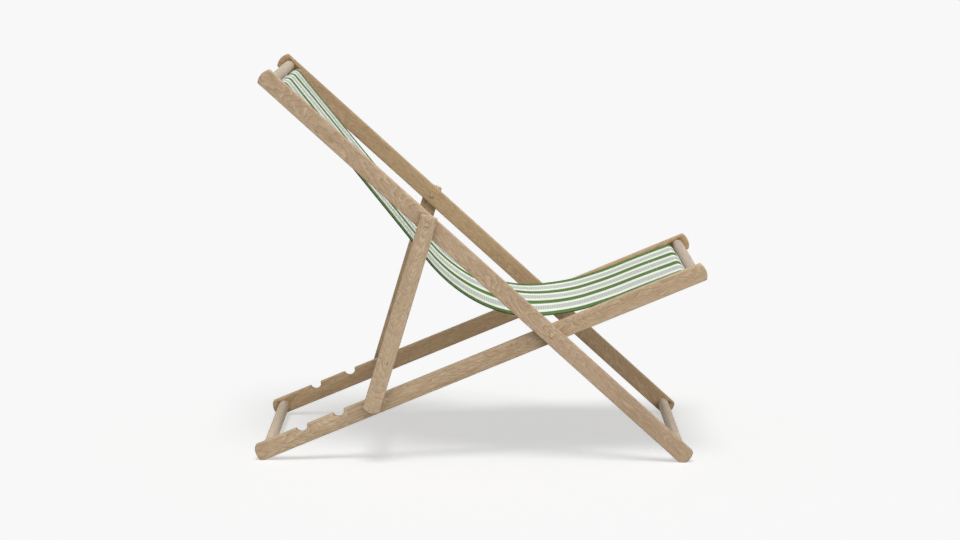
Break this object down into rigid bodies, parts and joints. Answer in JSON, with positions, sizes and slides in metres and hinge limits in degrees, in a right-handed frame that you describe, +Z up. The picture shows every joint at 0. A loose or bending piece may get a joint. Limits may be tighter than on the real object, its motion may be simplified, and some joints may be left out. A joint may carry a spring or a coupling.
{
  "type": "cabana chair",
  "caption": "Folding wooden sling chair: crossed seat and back frames on side pivots, a prop frame in notched rails, striped cloth sling.",
  "frame": {"origin": "on the floor, under the middle of the chair's box", "axes": "+X the way the sitter faces, +Y to the sitter's left, +Z up"},
  "size_m": [1.0685, 0.6032, 0.9285],
  "materials": {
    "rail_wood": "oiled oak, eased edges",
    "bar_wood": "smooth turned oak",
    "cloth": "woven canvas with green and grey stripes",
    "steel": "satin, warm zinc plating",
    "nylon": "plain"
  },
  "bodies": {
    "seat_frame": {"seat_rail_left": "rail_wood", "seat_rail_right": "rail_wood", "seat_front_bar": "bar_wood", "seat_rear_bar": "bar_wood", "seat_sling_rod": "bar_wood", "sling": "cloth", "main_pivot_bolt_left": "steel", "main_pivot_bolt_right": "steel", "main_pivot_washer_left": "nylon", "main_pivot_washer_right": "nylon", "main_pivot_nut_left": "steel", "main_pivot_nut_right": "steel"},
    "back_frame": {"back_rail_left": "rail_wood", "back_rail_right": "rail_wood", "back_top_bar": "bar_wood", "back_foot_bar": "bar_wood", "back_sling_rod": "bar_wood"},
    "prop_frame": {"prop_leg_left": "rail_wood", "prop_leg_right": "rail_wood", "prop_bar": "bar_wood", "prop_pivot_bolt_left": "steel", "prop_pivot_bolt_right": "steel", "prop_pivot_washer_left": "nylon", "prop_pivot_washer_right": "nylon", "prop_pivot_nut_left": "steel", "prop_pivot_nut_right": "steel"}
  },
  "joints": [
    {"name": "frame_fold", "type": "hinge", "parent": "seat_frame", "child": "back_frame", "pos_m": [0.16833, 0, 0.30479], "axis": [0, -1, 0], "range_deg": [0, 49], "deforming": ["sling"]},
    {"name": "prop_swing", "type": "hinge", "parent": "back_frame", "child": "prop_frame", "pos_m": [-0.12277, 0, 0.5703], "axis": [0, 1, 0], "range_deg": [0, 110.8]}
  ],
  "couplings": [
    {"joint": "prop_swing", "follows": "frame_fold", "ratio": 2.26}
  ]
}
